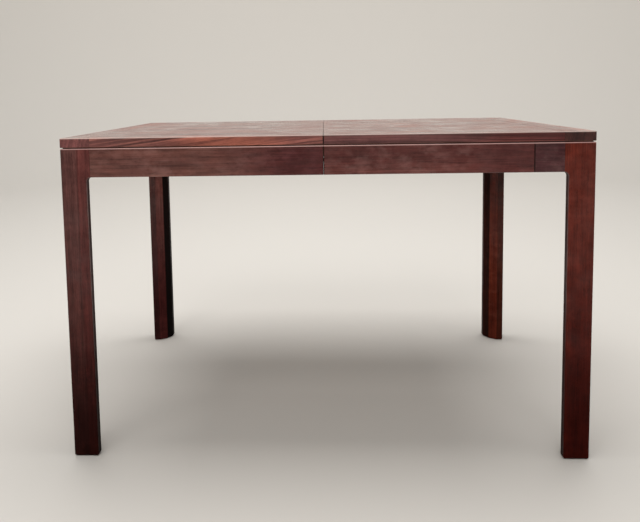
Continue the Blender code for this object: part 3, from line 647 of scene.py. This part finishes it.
DOWN = Vector((0, 0, -1))
CORNERS = [
    (row, side, Vector((way_x, way_y, 0)))
    for row, way_y in (("front", -1), ("back", 1))
    for side, way_x in (("left", -1), ("right", 1))
]


def log_of_beech():
    """Beech: pale, even wood with faint rings and short dark flecks along X."""
    outputs = {"Color": "Color", "Height": "Float"}
    group, given, end = effect("beech_log", {"Vector": "Vector"}, outputs)
    at = given["Vector"]
    bands = fade(group, stretched_noise(group, at, *BEECH_BANDS), *MIDDLE)
    fibres = stretched_noise(group, at, *BEECH_FIBRES)
    flecks = fade(group, stretched_noise(group, at, *BEECH_FLECKS), *SPARSE)
    light = fade(group, fibres, *WIDE, *BEECH_FIBRE_LIGHT)
    light = sums(group, "MULTIPLY_ADD", flecks, FLECK_LIGHT, light)
    height = sums(group, "MULTIPLY", fibres, BEECH_FIBRE_HEIGHT)
    results = {
        "Color": brightened(group, blended(group, bands, BEECH_PALE, BEECH_TAN), light),
        "Height": sums(group, "MULTIPLY_ADD", flecks, FLECK_HEIGHT, height),
    }
    connect(group, end, results)
    return group


BEECH_LOG = log_of_beech()


def beech(name, grain, wax=0.0):
    """Unlacquered beech for one piece, a little grimy, and shinier where it is waxed."""
    material, tree, place = new_finish(name + "_beech")
    shift = BEECH_STEP * start_of(name)
    feeds = {"Vector": place, "Location": shift, "Rotation": GRAIN_TURN[grain]}
    mapped = lay(tree, "ShaderNodeMapping", feeds).outputs[0]
    wood = applied(tree, BEECH_LOG, {"Vector": mapped})
    grime = stretched_noise(tree, place, *BEECH_GRIME)
    light = fade(tree, grime, *MIDDLE, *BEECH_GRIME_LIGHT)
    relief = lay(tree, "ShaderNodeBump", {"Height": wood["Height"], **BEECH_RELIEF})
    look = {
        "Base Color": brightened(tree, wood["Color"], light),
        "Roughness": fade(tree, grime, *MIDDLE, *[rough - wax for rough in BEECH_ROUGHNESS]),
        "Normal": relief.outputs[0],
        "Specular IOR Level": BEECH_SHINE,
    }
    connect(tree, tree.nodes["Principled BSDF"], look)
    return material


def plated(name, bright, stain, smooth):
    """A metal dulled by handling, with patchy stains and fine rubbing marks."""
    material, tree, place = new_finish(name)
    stains = stretched_noise(tree, place, *METAL_STAINS)
    rubs = stretched_noise(tree, place, *METAL_RUBS)
    relief = lay(tree, "ShaderNodeBump", {"Height": rubs, **METAL_RELIEF})
    look = {
        "Base Color": blended(tree, fade(tree, stains, *STAIN_EDGES), bright, stain),
        "Roughness": fade(tree, stains, *UPPER, smooth, smooth + STAIN_DULL),
        "Normal": relief.outputs[0],
        "Metallic": 1.0,
    }
    connect(tree, tree.nodes["Principled BSDF"], look)
    return material


def packed_dirt():
    """Dark wax and dust, packed into the slots of the screws."""
    material, tree, place = new_finish("slot_dirt")
    crumbs = stretched_noise(tree, place, *DIRT_CRUMBS)
    look = {
        "Base Color": blended(tree, fade(tree, crumbs, *UPPER), DARK_DIRT, PALE_DIRT),
        "Roughness": fade(tree, crumbs, *MIDDLE, *DIRT_ROUGHNESS),
    }
    connect(tree, tree.nodes["Principled BSDF"], look)
    return material


ZINC = plated("zinc_plate", ZINC_BRIGHT, ZINC_STAIN, smooth=0.30)
SLOT_DIRT = packed_dirt()


def settle(name, shape, material, body):
    """Makes a finished shape a piece that moves with a body."""
    bmesh.ops.recalc_face_normals(shape, faces=shape.faces)
    mesh = bpy.data.meshes.new(name)
    shape.to_mesh(mesh)
    shape.free()
    mesh.shade_smooth()
    mesh.set_sharp_from_angle(angle=SHARP_CORNER)
    mesh.materials.append(material)
    piece = bpy.data.objects.new(name, mesh)
    bpy.context.collection.objects.link(piece)
    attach(piece, body)
    return piece


def stand(shape, place, outward):
    """Moves a shape that points along Z to a place, to point outward there."""
    turn = outward.to_track_quat("Z", "Y").to_matrix().to_4x4()
    bmesh.ops.transform(shape, matrix=Matrix.Translation(place) @ turn, verts=shape.verts)


def screw_head(proud, turned):
    """A slotted flat head, its face at Z zero and its taper below.

    The slot is as deep as the head stands proud.
    """
    slot = SCREW_RADIUS * SLOT_SHARE
    shape = bmesh.new()
    bmesh.ops.create_circle(shape, cap_ends=True, radius=SCREW_RADIUS, segments=SCREW_FACETS)
    for edge in (-slot / 2, slot / 2):
        everything = [*shape.verts, *shape.edges, *shape.faces]
        bmesh.ops.bisect_plane(shape, geom=everything, plane_co=(0, edge, 0), plane_no=(0, 1, 0))
    rim = [edge for edge in shape.edges if edge.is_boundary]
    skirt = bmesh.ops.extrude_edge_only(shape, edges=rim)
    lower = [part for part in skirt["geom"] if isinstance(part, bmesh.types.BMVert)]
    bmesh.ops.scale(shape, vec=(HEAD_TAPER, HEAD_TAPER, 1), verts=lower)
    bmesh.ops.translate(shape, vec=(0, 0, -SCREW_RADIUS * HEAD_DEPTH), verts=lower)
    faces = [face for face in shape.faces if abs(face.normal.z) > LEVEL_FACE]
    channel = min(faces, key=lambda face: abs(face.calc_center_median().y))
    sunk = bmesh.ops.extrude_discrete_faces(shape, faces=[channel])["faces"][0]
    sunk.material_index = 1
    bmesh.ops.translate(shape, vec=(0, 0, SLOT_FLOOR - proud), verts=sunk.verts)
    bmesh.ops.rotate(shape, matrix=Matrix.Rotation(turned, 3, "Z"), verts=shape.verts)
    return shape


def drive_screws(name, body, places, proud=SCREW_PROUD):
    """Drives one screw at each place, its head proud of the face that points the given way."""
    joined = bmesh.new()
    for number, (place, outward) in enumerate(places):
        head = screw_head(proud, SLOT_TURN * number)
        stand(head, place + outward * proud, outward)
        single = bpy.data.meshes.new(name)
        head.to_mesh(single)
        head.free()
        joined.from_mesh(single)
        bpy.data.meshes.remove(single)
    piece = settle(name, joined, ZINC, body)
    piece.data.materials.append(SLOT_DIRT)


for row, side, way in CORNERS:
    node = f"corner_block_{row}_{side}"
    fit_finish(node, beech(node, "Z"))
    face_middle = middle_of(node) - way * BLOCK_TIP / 2
    inward = -way.normalized()
    along = Vector((way.x, -way.y, 0)).normalized()
    places = [(face_middle + along * way_along * BLOCK_SCREW_OFFSET, inward) for way_along in (-1, 1)]
    drive_screws(f"corner_block_screws_{row}_{side}", side + "_half", places)


# Hanger bolts and wing nuts: zinc plated steel.
# The bolt is screwed into the leg, and threaded with a machine thread where the nut runs.
# The nut draws the leg into its corner block, and comes off to take the leg away.
THREAD_PITCH = 0.00125
THREAD_DEPTH = 0.0007
THREAD_TURNS = 17
THREAD_STEPS = 20
BOLT_TIP_TAPER = 0.0010
WELD_REACH = 0.00001


def run_out(shape, rim, reach, level):
    """Carries an open rim on to a ring of a given reach and level, and gives the new rim."""
    carried = bmesh.ops.extrude_edge_only(shape, edges=rim)["geom"]
    for part in carried:
        if isinstance(part, bmesh.types.BMVert):
            part.co = (*(part.co.xy.normalized() * reach), level)
    return [part for part in carried if isinstance(part, bmesh.types.BMEdge) and part.is_boundary]


def threaded_bolt(radius, length):
    """A round shank that ends in a machine thread with a tapered tip, pointing along Z from zero."""
    root = radius - THREAD_DEPTH
    thread_start = length - BOLT_TIP_TAPER - THREAD_PITCH * (THREAD_TURNS + 1)
    shape = bmesh.new()
    line = []
    for turn in range(THREAD_TURNS):
        for reach, share in ((root, 0.0), (radius, 0.5)):
            line.append(shape.verts.new((reach, 0, thread_start + THREAD_PITCH * (turn + share))))
    line.append(shape.verts.new((root, 0, thread_start + THREAD_PITCH * THREAD_TURNS)))
    edges = [shape.edges.new(pair) for pair in zip(line, line[1:])]
    climb = (0, 0, THREAD_PITCH / THREAD_STEPS)
    bmesh.ops.spin(
        shape,
        geom=line + edges,
        axis=(0, 0, 1),
        dvec=climb,
        angle=2 * math.pi,
        steps=THREAD_STEPS,
    )
    bmesh.ops.remove_doubles(shape, verts=shape.verts, dist=WELD_REACH)
    thread_middle = (thread_start + length) / 2
    rims = [edge for edge in shape.edges if edge.is_boundary]
    lower_rim = [edge for edge in rims if edge.verts[0].co.z < thread_middle]
    upper_rim = [edge for edge in rims if edge.verts[0].co.z > thread_middle]
    run_out(shape, upper_rim, root - BOLT_TIP_TAPER / 2, length)
    shoulder = run_out(shape, lower_rim, radius, thread_start - THREAD_PITCH)
    run_out(shape, shoulder, radius, 0.0)
    bmesh.ops.holes_fill(shape, edges=[edge for edge in shape.edges if edge.is_boundary])
    return shape


for row, side, way in CORNERS:
    fit_finish(f"wing_nut_{row}_{side}", ZINC)
    node = f"hanger_bolt_{row}_{side}"
    low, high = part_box(node)
    radius = (high.z - low.z) / 2
    length = (high.x - low.x) * math.sqrt(2) - 2 * radius
    inward = -way.normalized()
    bolt = threaded_bolt(radius, length)
    stand(bolt, middle_of(node) - inward * length / 2, inward)
    piece = settle(f"threaded_bolt_{row}_{side}", bolt, ZINC, side + "_half")
    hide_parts(node)


# Cleats: square beech strips screwed to the aprons, with screws up into the top.
# They are sawn, not planed, and a little grimy.
CLEAT_SCREWS = 4
AXIS = {"X": 0, "Y": 1}

for side in ("left", "right"):
    places = []
    for edge, grain in (("front", "X"), ("back", "X"), ("end", "Y")):
        node = f"cleat_{edge}_{side}"
        fit_finish(node, beech(node, grain))
        low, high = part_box(node)
        axis = AXIS[grain]
        for number in range(CLEAT_SCREWS):
            share = (number + 0.5) / CLEAT_SCREWS
            place = middle_of(node)
            place.z = low.z
            place[axis] = low[axis] + (high[axis] - low[axis]) * share
            places.append((place, DOWN))
    drive_screws("cleat_screws_" + side, side + "_half", places)


# Slides: beech members that run in each other on dovetails, waxed so that they run freely.
# The outer ones are screwed up into the top, and two ties screwed to the middle ones keep them in step.
SLIDE_WAX = 0.14
SLIDE_SCREW_PLACES = (0.10, 0.21, 0.32)
TIE_SCREW_SHARES = (0.25, 0.75)

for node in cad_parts:
    if node.startswith("slide_tie"):
        fit_finish(node, beech(node, "Y"))
    elif node.startswith("slide"):
        fit_finish(node, beech(node, "X", SLIDE_WAX))

for side, way_x in (("left", -1), ("right", 1)):
    places = []
    for row in ("front", "back"):
        node = f"slide_{row}_{side}"
        low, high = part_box(node)
        outer_end = low.x if way_x < 0 else high.x
        for from_end in SLIDE_SCREW_PLACES:
            place = Vector((outer_end - way_x * from_end, middle_of(node).y, low.z))
            places.append((place, DOWN))
    drive_screws("slide_screws_" + side, side + "_half", places)

places = []
for side in ("left", "right"):
    low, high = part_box("slide_tie_" + side)
    for row in ("front", "back"):
        for share in TIE_SCREW_SHARES:
            x = low.x + (high.x - low.x) * share
            places.append((Vector((x, middle_of(f"slide_{row}_middle").y, low.z)), DOWN))
drive_screws("tie_screws", "slide_carriage", places)


# Table locks: a brass lever that swings on a zinc plated plate under the left half.
# Its hook draws a stud on the right half's keeper tight. Both plates are screwed to the top.
BRASS_BRIGHT = (0.62, 0.43, 0.17, 1)
BRASS_STAIN = (0.30, 0.18, 0.07, 1)
BRASS = plated("tarnished_brass", BRASS_BRIGHT, BRASS_STAIN, smooth=0.28)
PLATE_THICKNESS = 0.002
PLATE_SCREW_INSET = 0.006
FLUSH = 0.0002

for row in ("front", "back"):
    fit_finish("lock_lever_" + row, BRASS)
    for kind, side in (("lock_base_", "left"), ("lock_keeper_", "right")):
        fit_finish(kind + row, ZINC)
        low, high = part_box(kind + row)
        places = []
        for x in (low.x + PLATE_SCREW_INSET, high.x - PLATE_SCREW_INSET):
            for y in (low.y + PLATE_SCREW_INSET, high.y - PLATE_SCREW_INSET):
                places.append((Vector((x, y, high.z - PLATE_THICKNESS)), DOWN))
        drive_screws(f"{kind}screws_{row}", side + "_half", places, FLUSH)


# Alignment pins: beech dowels, glued into the right half.
# They slip into sockets in the left half as the table closes.
PIN_WAX = 0.06

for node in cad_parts:
    if node.startswith(("top_pin", "apron_pin")):
        fit_finish(node, beech(node, "X", PIN_WAX))


# Top: two halves, each a panel veneered with matched leaves, edged with solid lippings and an end board.
# Its satin lacquer is scratched and wiped thin in places, and rubbed pale along the arrises, partly wear
# and partly a painted highlight. The arrises at the seam are darkened with dirt and painted shadow, and
# the underside is bare.
# The left front lipping is brightly figured, and the end grain darkest on the right.
LEAVES = 4
PANEL_PITH = (0.012, 0.035)
END_BOARD_PITH = (0.20, 0.05)
LIPPING_PITH = (0.05, 0.08)
FIGURE_LEAN = math.radians(9)
PLAIN_LEAN = math.radians(1.5)

TOP_VEIN = (0.034, 0.012, 0.009, 1)
TOP_WOOD = ((0.175, 0.062, 0.045, 1), (0.270, 0.100, 0.068, 1), TOP_VEIN)
PLAIN_EDGE = ((0.200, 0.067, 0.062, 1), (0.260, 0.090, 0.078, 1), TOP_VEIN)
FIGURED_EDGE = ((0.730, 0.220, 0.153, 1), (0.930, 0.305, 0.192, 1), (0.085, 0.027, 0.025, 1))
PLAIN_TINT = (0.39, 0.45, 0.57, 1)
SEAM_END_TINT = (0.78, 0.90, 0.96, 1)
FAR_END_TINT = (0.68, 0.42, 0.42, 1)
END_GRAIN_TINTS = {"left": (1.12, 1.02, 1.35, 1), "right": (1.0, 0.78, 0.92, 1)}
END_GRAIN_DARK = {"left": 0.0, "right": 0.74}
END_GRAIN_WEAR = 0.7
# Pale colour of the top's rubbed arrises: partly wear, partly a painted highlight.
TOP_ARRIS_RUBBED_AND_HIGHLIGHT = (0.86, 0.68, 0.60, 1)
WIPED_TINT = (1.10, 1.04, 1.02, 1)
WIPED_WEAR = 0.28
WIPED_DULL = 0.08
SCRATCH_DULL = 0.10
DUST_UNDER_TOP = 0.55
PANEL_SEAM_DIRT_AND_SHADOW = 0.30

# Where a change begins and ends: along the table, above the floor, or in from an outer face.
FIGURE_FADES = ((-0.38, -0.22), (-0.04, -0.20))
RIGHT_EDGE_FADE = (0.20, 0.45)
FRONT_FACE = (TABLE_HEIGHT - 0.0004, TABLE_HEIGHT - 0.0016)
BARE_BELOW = (UNDERSIDE + 0.0015, UNDERSIDE + 0.0005)
END_GRAIN_FACE = (0.0016, 0.0008)

WIPES = ((5.0, 2.2, 5.0), 2.0)
WIPE_EDGES = (0.36, 0.64)
SCRATCHES = ((6.0, 1400.0, 6.0), 1.0)
SCRATCH_EDGES = (0.66, 0.74)
SCRATCH_ANGLES = (0.35, -0.9, 1.45)


def fine_scratches():
    """A mask of hair scratches that lie in a few directions."""
    group, given, end = effect("fine_scratches", {"Vector": "Vector"}, {"Mask": "Float"})
    marks = 0.0
    for angle in SCRATCH_ANGLES:
        turned = lay(group, "ShaderNodeMapping", {"Vector": given["Vector"], "Rotation": (0, 0, angle)})
        hairs = stretched_noise(group, turned.outputs[0], *SCRATCHES)
        marks = sums(group, "MAXIMUM", fade(group, hairs, *SCRATCH_EDGES), marks)
    connect(group, end, {"Mask": marks})
    return group


FINE_SCRATCHES = fine_scratches()


def top_lacquer(wood, coat=0.76, specular=0.45):
    """Finishes a piece of the top: wiped and scratched lacquer above, bare wood below."""
    tree = wood.tree
    scratches = applied(tree, FINE_SCRATCHES, {"Vector": wood.place})["Mask"]
    below = fade(tree, split(tree, wood.place)[2], *BARE_BELOW)
    wiped = fade(tree, stretched_noise(tree, wood.place, *WIPES), *WIPE_EDGES)
    cover(wood, below, DUST_UNDER_TOP, INNER_DUST)
    tint(wood, wiped, WIPED_TINT)
    for mask, loss in ((wiped, WIPED_DULL), (scratches, SCRATCH_DULL), (below, BARE_DULL)):
        dull(wood, mask, loss)
    wear_off(wood, wiped, WIPED_WEAR)
    wear_off(wood, below, 1.0)
    lacquer(
        wood,
        TABLE_HEIGHT,
        coat=coat,
        specular=specular,
        width=0.0032,
        evenness=0.68,
        rub=0.95,
        gloss=0.38,
        bare=TOP_ARRIS_RUBBED_AND_HIGHLIGHT,
    )


def lipping(node):
    """Wood for a front or back edge of the top, with its own figure and tint where it has one."""
    if node == "top_front_lipping_left":
        wood = cut(node, "X", LIPPING_PITH, FIGURED_EDGE, ring=0.016, lean=FIGURE_LEAN)
        x, _, z = split(wood.tree, wood.place)
        figured = sums(wood.tree, "MULTIPLY", *[fade(wood.tree, x, *ends) for ends in FIGURE_FADES])
        figured = sums(wood.tree, "MULTIPLY", figured, fade(wood.tree, z, *FRONT_FACE))
        tint(wood, sums(wood.tree, "SUBTRACT", 1.0, figured), PLAIN_TINT)
        return wood
    wood = cut(node, "X", LIPPING_PITH, PLAIN_EDGE, ring=0.007, lean=PLAIN_LEAN)
    if node == "top_front_lipping_right":
        x, _, _ = split(wood.tree, wood.place)
        tint(wood, 1.0, SEAM_END_TINT)
        tint(wood, fade(wood.tree, x, *RIGHT_EDGE_FADE), FAR_END_TINT)
    return wood


low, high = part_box("top_panel_left")
LEAF_WIDTH = (high.y - low.y) / LEAVES
for side in ("left", "right"):
    panel = cut("top_panel_" + side, "X", PANEL_PITH, TOP_WOOD, taper=0.05, leaf=LEAF_WIDTH)
    seam_dirt_and_shadow(panel, PANEL_SEAM_DIRT_AND_SHADOW)
    top_lacquer(panel)

    board = cut("top_end_board_" + side, "Y", END_BOARD_PITH, TOP_WOOD, veins=0.7)
    from_side = inset(board.tree, split(board.tree, board.place)[1], HALF_DEPTH)
    end_grain = fade(board.tree, from_side, *END_GRAIN_FACE)
    tint(board, end_grain, END_GRAIN_TINTS[side])
    darken(board, end_grain, END_GRAIN_DARK[side])
    wear_off(board, end_grain, END_GRAIN_WEAR)
    top_lacquer(board, specular=0.3)

    for edge in ("front", "back"):
        edging = lipping(f"top_{edge}_lipping_{side}")
        seam_dirt_and_shadow(edging)
        top_lacquer(edging, coat=0.5, specular=0.15)


# Studio: a round floor that sweeps up into a pale wall, soft light from above, and the camera.
# The camera stands before the middle of the table, a little above its top, and looks slightly down.
FLOOR_COLOUR = (0.60, 0.565, 0.52, 1)
FLOOR_ROUGHNESS = 0.9
FLOOR_RADIUS = 5.0
SWEEP_RADIUS = 2.5
WALL_HEIGHT = 5.0
SWEEP_STEPS = 12
ROUND_STEPS = 96
FLOOR_WELD = 0.0001

sweep = bmesh.new()
profile = [(0.0, 0.0), (FLOOR_RADIUS, 0.0)]
for step in range(1, SWEEP_STEPS + 1):
    angle = math.pi / 2 * step / SWEEP_STEPS
    reach = FLOOR_RADIUS + SWEEP_RADIUS * math.sin(angle)
    profile.append((reach, SWEEP_RADIUS * (1 - math.cos(angle))))
profile.append((FLOOR_RADIUS + SWEEP_RADIUS, WALL_HEIGHT))
line = [sweep.verts.new((x, 0, z)) for x, z in profile]
edges = [sweep.edges.new(pair) for pair in zip(line, line[1:])]
bmesh.ops.spin(
    sweep,
    geom=line + edges,
    cent=(0, 0, 0),
    axis=(0, 0, 1),
    angle=2 * math.pi,
    steps=ROUND_STEPS,
    use_merge=True,
)
bmesh.ops.remove_doubles(sweep, verts=sweep.verts, dist=FLOOR_WELD)
bmesh.ops.recalc_face_normals(sweep, faces=sweep.faces)
floor_mesh = bpy.data.meshes.new("studio_floor")
sweep.to_mesh(floor_mesh)
sweep.free()
floor_mesh.shade_smooth()
floor = bpy.data.objects.new("studio_floor", floor_mesh)
bpy.context.collection.objects.link(floor)
floor_paint = bpy.data.materials.new("floor_paint")
floor_paint.use_nodes = True
paint = {"Base Color": FLOOR_COLOUR, "Roughness": FLOOR_ROUGHNESS}
connect(floor_paint.node_tree, floor_paint.node_tree.nodes["Principled BSDF"], paint)
floor_mesh.materials.append(floor_paint)

AIR_COLOUR = (0.94, 0.98, 1.0, 1)
AIR_STRENGTH = 0.50
world = bpy.data.worlds.new("studio_air")
world.use_nodes = True
air = world.node_tree.nodes["Background"]
connect(world.node_tree, air, {"Color": AIR_COLOUR, "Strength": AIR_STRENGTH})
bpy.context.scene.world = world

# For each lamp: where it hangs, where it points, its size and its power.
SOFTBOXES = {
    "overhead": ((0.0, 0.4, 3.8), (0, 0, 0.4), (4.0, 2.4), 130),
    "front_sky": ((-0.6, -2.8, 3.4), (0, 0, 0.5), (4.0, 2.0), 60),
    "wall_wash": ((0.0, 3.2, 4.6), (0, 7.0, 1.6), (6.0, 1.2), 160),
}
for name, (place, target, (size_x, size_y), power) in SOFTBOXES.items():
    lamp = bpy.data.lights.new(name, "AREA")
    lamp.shape = "RECTANGLE"
    lamp.size = size_x
    lamp.size_y = size_y
    lamp.energy = power
    holder = bpy.data.objects.new(name, lamp)
    holder.location = place
    holder.rotation_euler = (Vector(target) - Vector(place)).to_track_quat("-Z", "Y").to_euler()
    bpy.context.collection.objects.link(holder)

CAMERA_PLACE = (0.0036, -1.8735, 0.8414)
CAMERA_YAW = -0.0448
CAMERA_PITCH = 0.0923
CAMERA_ROLL = -0.0171
LENS_LENGTH = 37.45
SENSOR_WIDTH = 36.0
SHIFT_X = 0.0384
SHIFT_Y = -0.165
lens = bpy.data.cameras.new("camera")
lens.lens = LENS_LENGTH
lens.sensor_width = SENSOR_WIDTH
lens.shift_x = SHIFT_X
lens.shift_y = SHIFT_Y
camera = bpy.data.objects.new("camera", lens)
turn = Matrix.Rotation(-CAMERA_YAW, 4, "Z") @ Matrix.Rotation(math.pi / 2 - CAMERA_PITCH, 4, "X")
camera.matrix_world = Matrix.Translation(CAMERA_PLACE) @ turn @ Matrix.Rotation(CAMERA_ROLL, 4, "Z")
bpy.context.collection.objects.link(camera)
bpy.context.scene.camera = camera
bpy.context.scene.view_settings.view_transform = "Standard"
